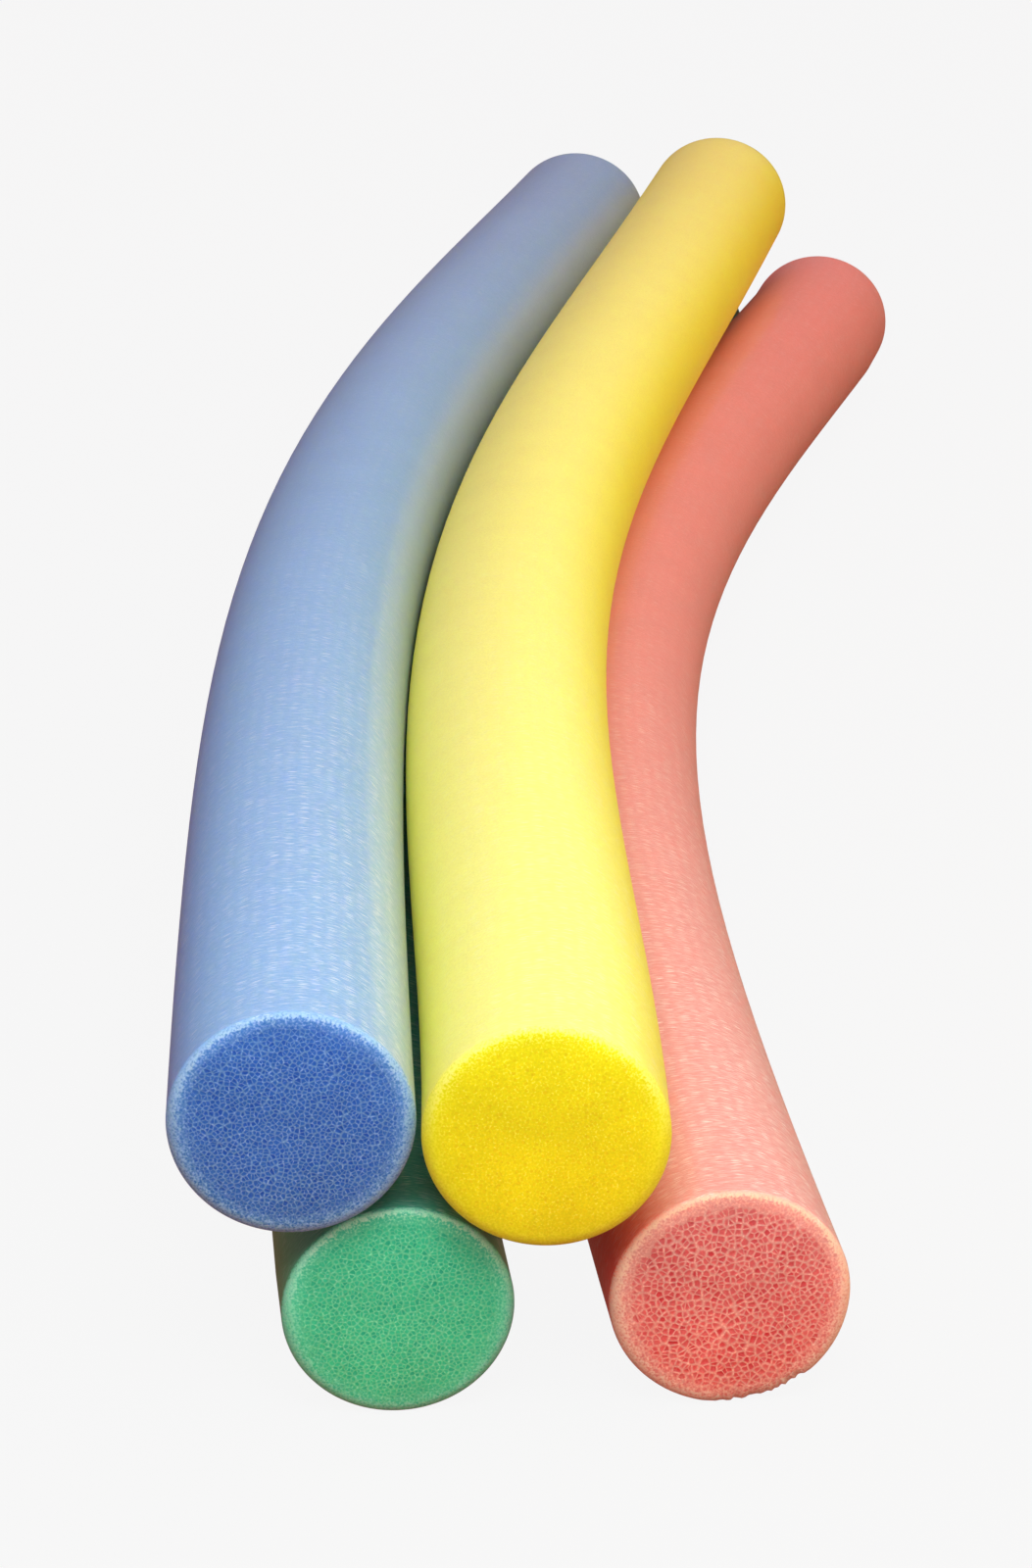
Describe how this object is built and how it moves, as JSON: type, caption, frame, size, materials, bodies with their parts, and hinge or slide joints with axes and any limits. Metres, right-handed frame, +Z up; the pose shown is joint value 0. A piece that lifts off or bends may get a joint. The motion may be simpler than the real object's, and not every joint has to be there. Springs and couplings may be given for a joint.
{
  "type": "pool noodle",
  "caption": "Pile of loose, solid-core foam pool noodles in blue, yellow, green and red: buoyant round bars, cut square, to hold, ride or swim with.",
  "frame": {"origin": "on the ground, under the middle of the box around the pile", "axes": "+Y along the noodles from the near cut ends to the far ones, +X to the right seen from the near ends, +Z up"},
  "size_m": [0.3002, 1.2136, 0.1321],
  "materials": {
    "blue_foam": "satin skin on closed-cell polyethylene foam, open cells on the cut ends",
    "yellow_foam": "satin skin on closed-cell polyethylene foam, open cells on the cut ends",
    "green_foam": "satin skin on closed-cell polyethylene foam, open cells on the cut ends",
    "red_foam": "satin skin on closed-cell polyethylene foam, open cells on the cut ends"
  },
  "bodies": {
    "green": {"green_noodle": "green_foam"},
    "red": {"red_noodle": "red_foam"},
    "blue": {"blue_noodle": "blue_foam"},
    "yellow": {"yellow_noodle": "yellow_foam"}
  },
  "joints": [
    {"name": "blue_lift", "type": "slide", "parent": "green", "child": "blue", "axis": [0, 0, 1], "range_m": [0, 0.3]},
    {"name": "yellow_lift", "type": "slide", "parent": "green", "child": "yellow", "axis": [0, 0, 1], "range_m": [0, 0.3]},
    {"name": "red_pull", "type": "slide", "parent": "green", "child": "red", "axis": [1, 0, 0], "range_m": [0, 0.3]}
  ]
}
